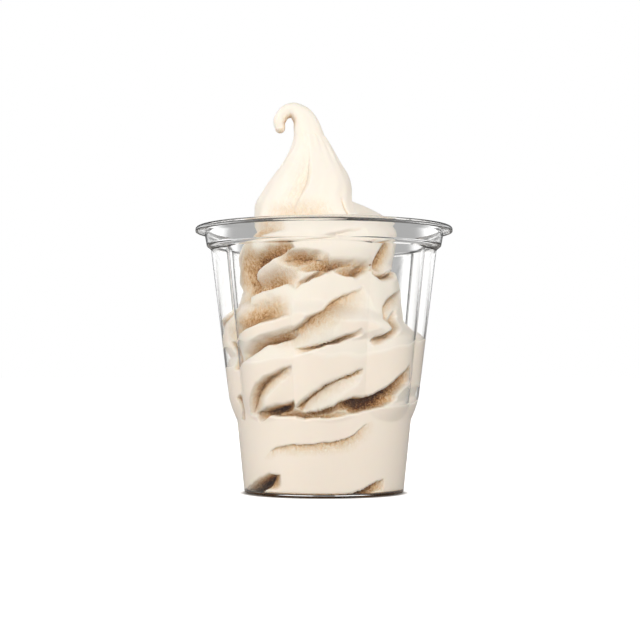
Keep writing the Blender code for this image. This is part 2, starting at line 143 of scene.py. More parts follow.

# A fold of the piped rope: a lip along its course, and beside it a recess that comes out again. The lip is
# on the left of the way the course runs, so a course towards +X has its lip above and one towards -X has
# it below. The recess's width goes from its first value to its last. Its form is RAMP, which comes out
# again in one long slope, BOWL, which is soft at its bottom and on its far side, or VOID, which stays deep
# and comes out steeply on its far side. Its shade scales the painted shade that its depth puts into the
# swirl's colour, a brown that stands in for the shadow in the recess.
RAMP, BOWL, VOID = "ramp", "bowl", "void"
END_FADE = {RAMP: 0.6, BOWL: 1.0, VOID: 0.75}
Fold = namedtuple("Fold", "course form depth lip width last_width shade", defaults=(None, 1.0))

CRESCENT = (
    (-19, 0.0308), (-17, 0.0322), (-12.6, 0.0349), (-7, 0.0373), (0.6, 0.0400), (9, 0.0420),
    (18, 0.0434), (24, 0.0440),
)
FOLDS = (
    # Foot of the swirl
    Fold(((-45, 0.0130), (-35, 0.0165), (-27, 0.0178), (-3, 0.0187), (15, 0.0203), (24, 0.0236),
          (33, 0.0268)), RAMP, 0.0020, 0.0004, 0.0040, 0.0080, 2.0),
    Fold(((-92, 0.0004), (-74, 0.0024), (-58, 0.0052), (-46, 0.0077), (-30, 0.0079)),
         VOID, 0.0085, 0.0006, 0.0052, 0.0056, 1.3),
    Fold(((3, 0.0001), (15, 0.0012), (25, 0.0029), (34, 0.0047), (47, 0.0060)),
         VOID, 0.0075, 0.0006, 0.0030, 0.0040, 1.4),
    # Between the foot and the third coil
    Fold(((-49, 0.0286), (-33, 0.0319), (-19, 0.0329)), VOID, 0.0090, 0.0006, 0.0038, 0.0042, 1.2),
    Fold(((-16, 0.0282), (-10, 0.0296), (-1, 0.0308), (7, 0.0323), (16, 0.0335)),
         VOID, 0.0065, 0.0006, 0.0030),
    Fold(((2, 0.0312), (14, 0.0343), (27, 0.0353), (38, 0.0380), (50, 0.0425), (60, 0.0455)),
         VOID, 0.0098, 0.0006, 0.0036, 0.0066, 1.3),
    Fold(((12, 0.0303), (24, 0.0318), (36, 0.0336), (48, 0.0366)),
         VOID, 0.0070, 0.0006, 0.0024, 0.0034, 1.5),
    Fold(((30, 0.0300), (4, 0.0271), (-15, 0.0269), (-36, 0.0277), (-50, 0.0286)),
         BOWL, 0.0048, 0.0007, 0.0046),
    # Across the third coil
    Fold(CRESCENT, RAMP, 0.0058, 0.0006, 0.0100, 0.0085, 0.5),
    Fold(CRESCENT, VOID, 0.0066, 0.0005, 0.0030, 0.0020, 1.5),
    Fold(((-54, 0.0280), (-51, 0.0331), (-46.5, 0.0372), (-40, 0.0403), (-31, 0.0427), (-19, 0.0450)),
         RAMP, 0.0064, 0.0007, 0.0105, 0.0066, 0.95),
    # Between the third and the second coil
    Fold(((-10, 0.0560), (-19, 0.0538), (-26, 0.0522), (-37, 0.0505), (-51, 0.0468), (-66, 0.0440)),
         BOWL, 0.0068, 0.0007, 0.0070, 0.0040),
    Fold(((-19, 0.0500), (-5, 0.0521), (5, 0.0540), (13.6, 0.0556), (22, 0.0572)),
         VOID, 0.0060, 0.0006, 0.0019),
    Fold(((28, 0.0532), (39, 0.0566), (48, 0.0602), (62, 0.0644)), VOID, 0.0062, 0.0007, 0.0026),
    # Slits at the sides, beside the wall
    Fold(((-69, 0.0436), (-68, 0.0485), (-71, 0.0530)), VOID, 0.0070, 0.0005, 0.0034, 0.0030, 1.5),
    Fold(((-69, 0.0262), (-68, 0.0302), (-71, 0.0340)), VOID, 0.0070, 0.0005, 0.0034, 0.0030, 1.5),
    Fold(((69, 0.0446), (71, 0.0405), (70, 0.0362)), VOID, 0.0060, 0.0005, 0.0030, 0.0030, 1.4),
    # Across the second coil
    Fold(((-36, 0.0545), (-23, 0.0560), (-14, 0.0586), (-10, 0.0607), (-4, 0.0625), (6, 0.0664),
          (17, 0.0688), (33, 0.0715)), RAMP, 0.0046, 0.0009, 0.0085, 0.0115, 1.05),
    Fold(((-16, 0.0622), (-30, 0.0608), (-44, 0.0588), (-58, 0.0560), (-74, 0.0530)),
         BOWL, 0.0054, 0.0016, 0.0120, 0.0120, 1.1),
    Fold(((39, 0.0602), (43, 0.0618), (46, 0.0652), (56, 0.0684), (70, 0.0705), (86, 0.0712)),
         RAMP, 0.0052, 0.0009, 0.0058),
    # Under the top coil, whose underside draws in before the second coil comes out
    Fold(((-15, 0.0710), (-23.5, 0.0728), (-33, 0.0715), (-48, 0.0698), (-66, 0.0668), (-90, 0.0640)),
         BOWL, 0.0050, 0.0008, 0.0110, 0.0070),
    Fold(((16, 0.0775), (1, 0.0751), (-8, 0.0732), (-18, 0.0710)), VOID, 0.0046, 0.0006, 0.0018),
    Fold(((43, 0.0785), (38, 0.0770), (28.4, 0.0748), (20, 0.0754), (10, 0.0768)),
         BOWL, 0.0056, 0.0007, 0.0056),
    Fold(((118, 0.0800), (92, 0.0784), (70, 0.0755), (52, 0.0744), (46, 0.0760), (40, 0.0784)),
         BOWL, 0.0048, 0.0007, 0.0034),
    # Across the top coil
    Fold(((-16, 0.0856), (-22, 0.0844), (-39, 0.0802), (-51, 0.0767), (-54, 0.0704), (-56, 0.0640)),
         BOWL, 0.0054, 0.0010, 0.0030, 0.0150, 1.6),
    # Hardly a recess: a wide patch of painted shade down the left of the top coil
    Fold(((-48, 0.0862), (-56, 0.0815), (-60, 0.0750), (-61, 0.0660)),
         BOWL, 0.0006, 0.0040, 0.0120, 0.0150, 8.0),
    Fold(((46, 0.0796), (17, 0.0781), (9, 0.0768), (0, 0.0771), (-24, 0.0772)),
         BOWL, 0.0050, 0.0009, 0.0028, 0.0100, 1.3),
    Fold(((6, 0.0806), (-12, 0.0808), (-32, 0.0806)), BOWL, 0.0056, 0.0034, 0.0050),
    Fold(((40.5, 0.0790), (44, 0.0815), (50, 0.0855), (59, 0.0882), (72, 0.0902)),
         BOWL, 0.0056, 0.0008, 0.0105, 0.0105, 1.5),
    Fold(((-18, 0.0868), (0, 0.0884), (18, 0.0904), (40, 0.0925)),
         RAMP, 0.0018, 0.0010, 0.0060, 0.0060, 0.4),
    # Up the peak, from its top down
    Fold(((-8, 0.1245), (-4, 0.1158), (-1, 0.1090), (-4, 0.1045), (-12, 0.1000), (-24, 0.0965)),
         BOWL, 0.0034, 0.0014, 0.0085, 0.0120, 0.36),
    Fold(((49, 0.0950), (50, 0.0995), (50, 0.1040)), VOID, 0.0022, 0.0004, 0.0014, 0.0010, 2.2),
    # Shallow hollows whose painted shade darkens the foot of the peak and its lower left
    Fold(((48, 0.0985), (10, 0.0975), (-30, 0.0965), (-60, 0.0960)),
         BOWL, 0.0018, 0.0016, 0.0095, 0.0095, 1.1),
    Fold(((-16, 0.0925), (-40, 0.0915), (-62, 0.0900), (-84, 0.0885)),
         BOWL, 0.0026, 0.0014, 0.0080, 0.0080, 1.3),
)
# Folds of the side that is not shown
HIDDEN_FROM = 84.0
HIDDEN_TO = 288.0
HIDDEN_LIP = 0.0009
HIDDEN_WAVE = 0.0010
HIDDEN_SEAM_DEPTH = 0.0056
HIDDEN_SEAM_WIDTH = 0.0050
HIDDEN_FOLD_DEPTH = 0.0046
HIDDEN_FOLD_WIDTH = 0.0090
HIDDEN_FOLD_STEP = 38.0
HIDDEN_FOLD_ARC = 56.0
HIDDEN_FOLD_FOOT = 0.0020
HIDDEN_FOLD_RISE = 0.0205
HIDDEN_FOLD_STOPS = (0.0, 0.35, 0.7, 1.0)
HIDDEN_FOLD_START = 4.0
HIDDEN_SEAM_STOPS = 9
# How far the hidden folds differ among themselves: start in degrees, then shares of arc, bend and depth
START_SPREAD = (-5.0, 5.0)
ARC_SPREAD = (0.85, 1.1)
BEND_SPREAD = (0.8, 1.0)
DEPTH_SPREAD = (0.8, 1.2)
# Turn of the coil, share of the full rise, and the angle its folds end at
HIDDEN_ROWS = ((-2, 1.0, 258.0), (-1, 1.0, 258.0), (0, 0.7, 178.0))
TOP_SEAM_WIDTH = 0.0060
TOP_SEAM = (
    (84, 0.0800), (118, 0.0804), (152, 0.0815), (186, 0.0838), (220, 0.0865), (254, 0.0893),
    (290, 0.0925),
)
PEAK_FOLD_ANGLES = (130.0, 186.0, 246.0)
PEAK_FOLD_COURSE = ((2.0, 0.1240), (0.0, 0.1160), (-2.0, 0.1080), (-10.0, 0.1010))
PEAK_FOLD_DEPTH = 0.0016
PEAK_FOLD_LIP = 0.0014
PEAK_FOLD_WIDTH = 0.0090
PEAK_FOLD_SHADE = 0.2

# Unevenness of the surface and its painted shade in the curl and at the foot: the size of each kind of
# wave and the lengths it is drawn from
WANDER = 0.00018
WANDER_LENGTHS = (0.003, 0.009)
UNEVEN = 0.00022
UNEVEN_LENGTHS = (0.008, 0.024)
RAGGED = 0.00010
RAGGED_LENGTHS = (0.0012, 0.0030)
RAGGED_COUNT = 14
RAGGED_FROM = 0.0020
TIP_FADE = 0.0040
CURL_SHADE = 0.0030
CURL_SHADE_IN = 2.5
CURL_END_SHADE = 0.6
CURL_UPRIGHT = 0.3
FOOT_ROUND = 0.0008
FOOT_SHADE = 0.0085
DROOP_SHARE = 0.22
DROOP_REACH = 0.0024

# Meshes
PANEL_SEGMENTS = 52
SERVE_SEGMENTS = 600
SERVE_RINGS = 300
CURL_RINGS = 64
CURL_END_ANGLES = (15, 30, 45, 60, 75)
SMOOTH_SAMPLES = 24

# Colours of the swirl's free surface and of where it is pressed on the wall
CREAM = (0.94, 0.872, 0.780)
CREAM_PRESSED = (0.935, 0.842, 0.738)
# Colours of the painted shade in its folds, at its foot and inside the curl, each with the shade value
# where it starts and where it is full
PAINTED_SHADE_COLOURS = (
    ((0.87, 0.755, 0.615), 0.0002, 0.0018),
    ((0.82, 0.580, 0.340), 0.0014, 0.0038),
    ((0.53, 0.260, 0.085), 0.0030, 0.0062),
    ((0.14, 0.042, 0.006), 0.0056, 0.0090),
)
# Grain of its surface: how many to the metre, how much detail and how deep each is
GRAIN_SCALE, GRAIN_DETAIL, GRAIN_DEPTH = 1500.0, 2.5, 0.00070
CRUMB_SCALE, CRUMB_DETAIL, CRUMB_DEPTH = 3000.0, 2.0, 0.00040
SOFT_SCALE, SOFT_DETAIL, SOFT_DEPTH = 420.0, 4.0, 0.00020
SOFT_STRENGTH = 0.2
GRAIN_SLANT = -28.0
GRAIN_STRETCH = (1.0, 1.0, 0.45)
TORN_SHADES, TORN_DEPTHS = (0.0006, 0.0028), (0.08, 1.0)
ROUGHNESS_FREE, ROUGHNESS_PRESSED = 0.62, 0.42
# The middle of the noise that is stretched out, and how far grain and crumb turn the painted shade up and
# down
NOISE_LOW, NOISE_HIGH = 0.3, 0.7
GRAIN_SHADE = (0.66, 1.34)
CRUMB_SHADE = (0.70, 1.30)

# Clear plastic: its colour where it is thin, the painted dark of its rim line and foot shadow, and in
# the light it lets through
CLEAR = (0.985, 0.985, 0.982)
CLEAR_PAINTED_DARK = (0.06, 0.055, 0.05)
CLEAR_LIGHT = (0.97, 0.97, 0.965)
SMEAR_SCALE, SMEAR_DETAIL, SMEAR_DEPTH = 60.0, 3.0, 0.0002
SMEAR_STRENGTH = 0.05
SMEAR_ROUGHNESS = (0.015, 0.055)
CREASE_ANGLE = 40.0

# Floor: its colour, and the distance from the axis where its white glow starts and where it is full.
# Within that the glow is left out, a painted shadow under the cup
FLOOR_COLOUR = (0.34, 0.32, 0.30)
GLOW_START, GLOW_FULL = 0.0274, 0.0314
FLOOR_REACH = 40.0
FLOOR_DROP = 0.0002
GLOW_LOST_IN_MIRROR = 0.9

# Sky: its light on the swirl, and its brightness through the cup and mirrored in it, first sideways, then
# upwards, each as where the change starts, where it ends, and from what to what
WHITE = (1.0, 1.0, 1.0)
SKY_LIGHT = 0.36
SEEN_THROUGH = ((0.070, 0.090, 0.44, 1.30), (0.20, 0.45, 1.0, 0.06))
MIRRORED = ((0.3, 0.8, 0.2, 1.3), (0.1, 0.5, 1.0, 0.5))

# Lamps
SWIRL_MIDDLE = (0.0, 0.0, 0.07)
WARM_WHITE = (1.0, 0.985, 0.96)
Lamp = namedtuple("Lamp", "name place target size power colour")
LAMPS = (
    Lamp("key", (0.24, -0.70, 0.52), SWIRL_MIDDLE, (0.36, 0.36), 3.0, WARM_WHITE),
    Lamp("front", (-0.10, -0.95, 0.02), (0.0, 0.0, 0.02), (0.50, 0.30), 6.0, (1.0, 0.98, 0.95)),
    Lamp("side_left", (-0.75, -0.05, 0.10), SWIRL_MIDDLE, (0.30, 0.70), 3.4, WHITE),
    Lamp("side_right", (0.75, 0.05, 0.12), SWIRL_MIDDLE, (0.30, 0.70), 1.4, WHITE),
    Lamp("back", (-0.15, 0.80, 0.35), SWIRL_MIDDLE, (0.40, 0.40), 4.0, WARM_WHITE),
)

# Camera
CAMERA_PLACE = (0.0, -0.555, 0.041)
CAMERA_TARGET = (-0.00143, 0.0, 0.0614)
CAMERA_LENS = 87.2
SENSOR = 36.0


def smooth_step(value):
    value = np.clip(value, 0.0, 1.0)
    return value * value * (3.0 - 2.0 * value)


def table_at(table, value):
    """The second column of a table of named stops, read on a soft curve through them."""
    stops = np.array(table, float)
    places, sizes = stops[:, 0], stops[:, 1]
    slopes = np.gradient(sizes, places)
    value = np.clip(value, places[0], places[-1])
    first = np.clip(np.searchsorted(places, value, side="right") - 1, 0, len(places) - 2)
    span = places[first + 1] - places[first]
    t = (value - places[first]) / span
    return (
        sizes[first] * (2 * t**3 - 3 * t**2 + 1)
        + slopes[first] * span * (t**3 - 2 * t**2 + t)
        + sizes[first + 1] * (3 * t**2 - 2 * t**3)
        + slopes[first + 1] * span * (t**3 - t**2)
    )


def cup_radius(angle, height):
    """Outer radius of the lobed body: a plain cone with rounded panels standing out of it."""
    cone = FOOT_RADIUS + CONE_SLOPE * height
    panel = 360.0 / LOBE_COUNT
    across = (np.mod(angle - LOBE_TURN, panel) / panel) * 2.0 - 1.0
    arch = LOBE_START + LOBE_ARCH * (1.0 - np.sqrt(np.clip(1.0 - across**2, 0.0, 1.0)))
    rise = np.sin(0.5 * math.pi * np.clip((height - arch) / LOBE_RUN, 0.0, 1.0))
    bulge = LOBE_BULGE_LOW + LOBE_BULGE_GROWTH * height
    crown = np.sqrt((1.0 - across**2) ** 2 + CREASE_FILLET**2) - CREASE_FILLET
    return cone + bulge * crown * rise


def smooth_course(course, samples=SMOOTH_SAMPLES):
    """Points along a soft curve through the stops of a fold or of the curl."""
    stops = np.array(course, float)
    ends = np.vstack([2 * stops[0] - stops[1], stops, 2 * stops[-1] - stops[-2]])
    made = []
    just_short_of_last = len(stops) - 1.000001
    for place in np.linspace(0.0, just_short_of_last, samples):
        first = int(place)
        t = place - first
        a, b, c, d = ends[first : first + 4]
        made.append(0.5 * (2 * b + (c - a) * t + (2 * a - 5 * b + 4 * c - d) * t**2
                           + (3 * b - a - 3 * c + d) * t**3))
    return np.array(made)


def waves(angle, height, lengths, seed, count=9):
    """Soft unevenness between about -1 and 1, which closes on itself round the axis."""
    draw = np.random.default_rng(seed)
    total = np.zeros(np.shape(angle))
    girth = 2.0 * math.pi * MEAN_RADIUS
    for _ in range(count):
        length = draw.uniform(*lengths)
        slant = draw.uniform(0.0, 2.0 * math.pi)
        turns = round(girth / length * math.cos(slant))
        rise = 2.0 * math.pi / length * math.sin(slant)
        total += np.sin(np.radians(angle) * turns + rise * height + draw.uniform(0.0, 2.0 * math.pi))
    return total / math.sqrt(count)


def coil_line(angle):
    """Height of the seam between two turns of the coil: a helix that rises towards +X at the front."""
    return COIL_LINE_FRONT + COIL_PITCH * angle / 360.0


def hidden_folds():
    """The side the photo does not show, by the rule the front follows: a seam for each turn of the coil, with
    slanting folds between one seam and the next."""
    draw = np.random.default_rng(SEED)
    folds = [Fold(TOP_SEAM[::-1], BOWL, HIDDEN_SEAM_DEPTH, HIDDEN_LIP, TOP_SEAM_WIDTH)]
    angles = np.linspace(HIDDEN_FROM, HIDDEN_TO, HIDDEN_SEAM_STOPS)
    for turn in (-2, -1):
        wave = HIDDEN_WAVE * draw.uniform(-1.0, 1.0, len(angles))
        seam = tuple(zip(angles, coil_line(angles) + turn * COIL_PITCH + wave))
        folds.append(Fold(seam[::-1], BOWL, HIDDEN_SEAM_DEPTH, HIDDEN_LIP, HIDDEN_SEAM_WIDTH))
    for turn, share, until in HIDDEN_ROWS:
        for angle in np.arange(HIDDEN_FROM + HIDDEN_FOLD_START, until, HIDDEN_FOLD_STEP):
            start = angle + draw.uniform(*START_SPREAD)
            foot = coil_line(start) + turn * COIL_PITCH + HIDDEN_FOLD_FOOT
            arc = HIDDEN_FOLD_ARC * draw.uniform(*ARC_SPREAD)
            rise = HIDDEN_FOLD_RISE * share
            bend = draw.uniform(*BEND_SPREAD)
            depth = HIDDEN_FOLD_DEPTH * draw.uniform(*DEPTH_SPREAD)
            course = tuple((start + arc * part, foot + rise * part**bend) for part in HIDDEN_FOLD_STOPS)
            folds.append(Fold(course, RAMP, depth, HIDDEN_LIP, HIDDEN_FOLD_WIDTH))
    for angle in PEAK_FOLD_ANGLES:
        course = tuple((angle + lean, height) for lean, height in PEAK_FOLD_COURSE)
        folds.append(Fold(course, BOWL, PEAK_FOLD_DEPTH, PEAK_FOLD_LIP, PEAK_FOLD_WIDTH,
                          shade=PEAK_FOLD_SHADE))
    return tuple(folds)


def recess(form, part):
    """How deep a recess is, from 1 under its lip to 0 where it is out again."""
    if form == RAMP:
        return (1.0 - part) ** 1.5
    if form == BOWL:
        return 0.5 + 0.5 * np.cos(math.pi * part)
    return (1.0 - part**2) ** 0.5


def fold_at(angle, height, radius, fold):
    """For each point: how far the fold takes the surface in, and how far its lip hangs over, as a move
    in degrees and in height."""
    course = smooth_course(fold.course)
    middle = course[:, 0].mean()
    angle = middle + np.mod(angle - middle + 180.0, 360.0) - 180.0
    across = np.radians(1.0) * radius
    last_width = fold.last_width or fold.width
    widest = max(fold.width, last_width, DROOP_REACH)
    near = (
        ((angle - course[:, 0].min()) * across > -widest)
        & ((angle - course[:, 0].max()) * across < widest)
        & (height > course[:, 1].min() - widest)
        & (height < course[:, 1].max() + widest)
    )
    cut = np.zeros(angle.shape)
    turn = np.zeros(angle.shape)
    lift = np.zeros(angle.shape)
    if not near.any():
        return cut, turn, lift
    angle, height, across = angle[near], height[near], across[near]
    nearest = np.full(angle.shape, np.inf)
    side = np.ones(angle.shape)
    along = np.zeros(angle.shape)
    normal_u = np.zeros(angle.shape)
    normal_v = np.ones(angle.shape)
    for index, (start, end) in enumerate(zip(course[:-1], course[1:])):
        run = (end[0] - start[0]) * across
        rise = end[1] - start[1]
        length = np.sqrt(run**2 + rise**2)
        u = (angle - start[0]) * across
        v = height - start[1]
        t = np.clip((u * run + v * rise) / length**2, 0.0, 1.0)
        distance = np.hypot(u - t * run, v - t * rise)
        closer = distance < nearest
        nearest = np.where(closer, distance, nearest)
        side = np.where(closer, np.sign(run * v - rise * u), side)
        along = np.where(closer, (index + t) / (len(course) - 1), along)
        normal_u = np.where(closer, -rise / length, normal_u)
        normal_v = np.where(closer, run / length, normal_v)
    fade = np.sin(math.pi * np.clip(along, 0.0, 1.0)) ** END_FADE[fold.form]
    lip_side = 1.0 - smooth_step(nearest / fold.lip)
    width = fold.width + (last_width - fold.width) * along
    far_side = recess(fold.form, np.clip(nearest / width, 0.0, 1.0))
    cut[near] = fold.depth * fade * np.where(side > 0, lip_side, far_side)
    hang = np.where(side > 0, np.clip(1.0 - nearest / DROOP_REACH, 0.0, 1.0) ** 1.5, 0.0)
    hang = hang * fade * fold.depth * DROOP_SHARE
    turn[near] = -normal_u * hang / across
    lift[near] = -normal_v * hang
    return cut, turn, lift


def shifted_circle(angle, radius, shift):
    """Distance from a point to a circle whose centre lies off it, by shift towards +X."""
    turn = np.radians(angle)
    return shift * np.sin(turn) + np.sqrt(radius**2 - (shift * np.cos(turn)) ** 2)


def shoulder(line, height):
    """How far a coil stands out below the line where it ends, as a rounded shoulder from 0 to 1."""
    reach = np.clip((line - height) / TOP_COIL_SHOULDER, 0.0, 1.0)
    return np.sqrt(1.0 - (1.0 - reach) ** 2)


def serve_body(angle, height, centre):
    """Radius of the swirl about its spine, without its folds and before it meets the cup."""
    turn = np.mod(angle + 180.0, 360.0) - 180.0
    wall = cup_radius(angle, height) - WALL
    free = smooth_step((height - table_at(FILL_LINE, turn)) / FILL_BLEND + 0.5)
    phase = np.mod((height - coil_line(turn)) / COIL_PITCH, 1.0)
    rounding = COIL_ROUNDING * (2.0 * phase - 1.0) ** 2 * smooth_step((height - ROUNDING_LOW) / COIL_PITCH)
    coil = shifted_circle(angle, table_at(PROFILE, height), COIL_CENTRE - centre)
    body = (wall + PRESS) * (1.0 - free) + coil * free - rounding

    # The last turn of the coil draws in behind until it becomes the peak
    stands_out = np.zeros(height.shape)
    for turned in (turn - 360.0, turn, turn + 360.0):
        tuck = smooth_step((turned - TUCK_START) / (TUCK_END - TUCK_START))
        coil_end = shoulder(table_at(TOP_COIL_LINE, turned), height)
        stands_out = np.maximum(stands_out, coil_end * (1.0 - tuck))
    peak = table_at(PEAK, height)
    return np.where(height > PEAK[0][0], peak + (np.maximum(body, peak) - peak) * stands_out, body)


def curl_spine(rings):
    """Centres, directions and radii along the curled tip, whose first rings turn out of the level."""
    stops = smooth_course(CURL, rings + 1)
    ahead = np.gradient(stops[:, :2], axis=0)
    ahead /= np.linalg.norm(ahead, axis=1)[:, None]
    lean = smooth_step(np.linspace(0.0, 1.0, rings + 1) / CURL_UPRIGHT)[:, None]
    ahead = ahead * lean + np.array((0.0, 1.0)) * (1.0 - lean)
    ahead /= np.linalg.norm(ahead, axis=1)[:, None]
    return stops[1:, :2], ahead[1:], stops[1:, 2]


def all_folds_at(angle, height, radius):
    """For each point: how far the folds take the surface in, how much painted shade they give it, and how
    far their lips hang over."""
    cut = np.zeros(angle.shape)
    shade = np.zeros(angle.shape)
    turn = np.zeros(angle.shape)
    lift = np.zeros(angle.shape)
    for fold in FOLDS + hidden_folds():
        deeper, turned, lifted = fold_at(angle, height, radius, fold)
        cut = np.maximum(cut, deeper)
        shade = np.maximum(shade, deeper * fold.shade)
        turn += turned
        lift += lifted
    return cut, shade, turn, lift


def piped_rings(angles):
    """Rings of the turns and the peak, and for each of their points its painted shade and how hard it is
    pressed on the wall."""
    base = FOOT_RECESS + WALL - INTO_WALL
    angle, height = np.meshgrid(angles, np.linspace(base, CURL[0][1], SERVE_RINGS))
    centre = table_at(PEAK_CENTRE, height)
    body = serve_body(angle, height, centre)
    wander = WANDER * waves(angle, height, WANDER_LENGTHS, SEED + 1)
    cut, shade, turn, lift = all_folds_at(angle, height + wander, body)
    ragged = RAGGED * waves(angle, height, RAGGED_LENGTHS, SEED + 2, RAGGED_COUNT)
    uneven = UNEVEN * waves(angle, height, UNEVEN_LENGTHS, SEED + 3)
    radius = body - cut + uneven + ragged * smooth_step(cut / RAGGED_FROM)

    # Lips that hang over, but not at the tip and not through the floor of the cup
    fade = smooth_step((CURL[0][1] - height) / TIP_FADE)
    angle = angle + turn * fade
    height = np.where(height > base, np.maximum(height + lift * fade, base), base)
    across = centre + radius * np.sin(np.radians(angle))
    depth = -radius * np.cos(np.radians(angle))

    # Rounded at the foot, where painted shade darkens it, and held in by the wall, which is reached just
    # inside its inner face
    at_foot = 1.0 - smooth_step((height - base) / FOOT_ROUND)
    shade = np.maximum(shade, FOOT_SHADE * at_foot)
    out = np.hypot(across, depth)
    round_axis = np.degrees(np.arctan2(across, -depth))
    wall = cup_radius(round_axis, np.minimum(height, SHOULDER_LOW)) - WALL
    limit = np.where(height > SHOULDER_LOW, np.inf, wall + INTO_WALL - FOOT_ROUND * at_foot)
    pressed = smooth_step((out - limit) / PRESSED_REACH)
    keep = np.minimum(1.0, limit / np.maximum(out, 1e-6))
    points = np.stack([across * keep, depth * keep, height], axis=2)
    return list(points), list(np.stack([shade, pressed], axis=2))


def curl_rings(angles):
    """Rings of the curled tip and of its rounded end, and the painted shade of their points on its inner side
    and at its end.
    """
    sine, cosine = np.sin(np.radians(angles)), np.cos(np.radians(angles))
    # Painted shade on the inner side of the curl, growing along it
    inside = np.stack([CURL_SHADE * np.clip(-sine, 0.0, 1.0) ** 2, np.zeros(len(angles))], axis=1)
    rings, values = [], []
    for place, (middle, ahead, size) in enumerate(zip(*curl_spine(CURL_RINGS))):
        rings.append(np.stack([
            middle[0] + size * sine * ahead[1], -size * cosine, middle[1] - size * sine * ahead[0],
        ], axis=1))
        values.append(inside * smooth_step(place / CURL_RINGS * CURL_SHADE_IN))
    last = rings[-1]
    middle = last.mean(axis=0)
    tip = CURL[-1][2] * np.array((ahead[0], 0.0, ahead[1]))
    for turn in np.radians(CURL_END_ANGLES):
        rings.append(middle + (last - middle) * math.cos(turn) + tip * math.sin(turn))
        values.append(np.tile((CURL_SHADE * CURL_END_SHADE, 0.0), (len(angles), 1)))
    return rings, values


def ring_mesh(name, rings):
    """A closed mesh over rings of equal count, with a fan from each end ring to its middle."""
    count = len(rings[0])
    last = (len(rings) - 1) * count
    step = np.arange(count)
    after = (step + 1) % count
    points = np.vstack(rings + [rings[0].mean(axis=0), rings[-1].mean(axis=0)])
    foot, top = len(points) - 2, len(points) - 1
    faces = []
    for low in range(0, last, count):
        high = low + count
        faces += np.stack([low + step, low + after, high + after, high + step], axis=1).tolist()
    faces += [(int(b), int(a), foot) for a, b in zip(step, after)]
    faces += [(int(last + a), int(last + b), top) for a, b in zip(step, after)]
    mesh = bpy.data.meshes.new(name)
    mesh.from_pydata(points.tolist(), [], faces)
    mesh.shade_smooth()
    made = bpy.data.objects.new(name, mesh)
    bpy.context.scene.collection.objects.link(made)
    return made


def cup_rings():
    """Rings of the cup from the middle of its underside up the outside, over the rim and down the inside."""
    panel = 360.0 / LOBE_COUNT
    across = np.sin(0.5 * math.pi * np.linspace(-1.0, 1.0, PANEL_SEGMENTS + 1)[:-1])
    angles = np.concatenate([LOBE_TURN + panel * (lobe + 0.5 + 0.5 * across) for lobe in range(LOBE_COUNT)])
    sine, cosine = np.sin(np.radians(angles)), np.cos(np.radians(angles))

    def ring(radius, height):
        return np.stack([radius * sine, -radius * cosine, np.full(len(angles), height)], axis=1)

    def lobed(height, wall, blend=0.0, radius=0.0):
        return ring((cup_radius(angles, height) - wall) * (1.0 - blend) + radius * blend, height)

    def arc(out, height, radius, start, end, count):
        turns = np.radians(np.linspace(start, end, count))
        return [ring(out + radius * math.cos(turn), height + radius * math.sin(turn)) for turn in turns]

    # Underside, with its recess inside the ring it stands on, and the foot's edge
    inner_foot = FOOT_RADIUS - FOOT_LAND
    rings = [ring(radius, FOOT_RECESS) for radius in (*UNDERSIDE_RADII, inner_foot - UNDERSIDE_EDGE)]
    rings += arc(inner_foot - 3 * LAND_ROUND, FOOT_RECESS - LAND_ROUND, LAND_ROUND, 90, 0, 5)
    rings += [ring(inner_foot, LAND_ROUND / 2), ring(inner_foot + LAND_ROUND, 0.0)]
    rings += arc(FOOT_RADIUS + CONE_SLOPE * FOOT_EDGE - FOOT_EDGE, FOOT_EDGE, FOOT_EDGE, -90, -6, 8)

    # Cone, lobes and the shoulder above them
    side = np.concatenate([np.linspace(*stops) for stops in (CONE_RINGS, LOBE_FOOT_RINGS, LOBE_RINGS)])
    shoulder_steps = np.linspace(0.0, 1.0, 12)[1:]
    rings += [lobed(height, 0.0) for height in side]
    for part in shoulder_steps:
        height = SHOULDER_LOW + (SHOULDER_TOP - SHOULDER_LOW) * part
        rings.append(lobed(height, 0.0, smooth_step(part), COLLAR_RADIUS_LOW))

    # Collar and rolled rim
    collar_widening = COLLAR_RADIUS_TOP - COLLAR_RADIUS_LOW
    skirt_low = CUP_HEIGHT - RIM_SKIRT
    under = CUP_HEIGHT - RIM_THICKNESS
    collar_rise = skirt_low - COLLAR_GAP - SHOULDER_TOP
    for part in np.linspace(0.1, 1.0, 7):
        rings.append(ring(COLLAR_RADIUS_LOW + collar_widening * part, SHOULDER_TOP + collar_rise * part))
    rings += arc(COLLAR_RADIUS_TOP + COLLAR_FILLET, under - COLLAR_FILLET, COLLAR_FILLET, 180, 90, 6)
    skirt_in = RIM_RADIUS - RIM_THICKNESS
    rings += arc(skirt_in - SKIRT_FILLET, under - SKIRT_FILLET, SKIRT_FILLET, 90, 0, 6)
    rings += arc(RIM_RADIUS - RIM_THICKNESS / 2, skirt_low + SKIRT_ROUND, SKIRT_ROUND, 180, 360, 9)
    rings += arc(RIM_RADIUS - RIM_ROUND, CUP_HEIGHT - RIM_ROUND, RIM_ROUND, 0, 90, 9)
    throat = COLLAR_RADIUS_TOP - WALL
    throat_top = CUP_HEIGHT - THROAT_ROUND
    rings += arc(throat + THROAT_ROUND, throat_top, THROAT_ROUND, 90, 180, 9)

    # Down the inside
    throat_fall = SHOULDER_TOP + THROAT_FOOT - CUP_HEIGHT
    for part in np.linspace(0.15, 1.0, 7):
        rings.append(ring(throat - collar_widening * part, throat_top + throat_fall * part))
    for part in shoulder_steps[::-1][1:]:
        height = SHOULDER_LOW + (SHOULDER_TOP - SHOULDER_LOW) * part
        rings.append(lobed(height, WALL, smooth_step(part), COLLAR_RADIUS_LOW - WALL))
    rings += [lobed(height, WALL) for height in side[::-1]]
    floor = FOOT_RECESS + WALL
    inner_corner = FOOT_RADIUS - WALL - INNER_FOOT_INSET
    rings += arc(inner_corner, floor + INNER_FOOT_INSET, INNER_FOOT_ROUND, 0, -90, 7)
    rings += [ring(radius, floor) for radius in FLOOR_RADII]
    return rings


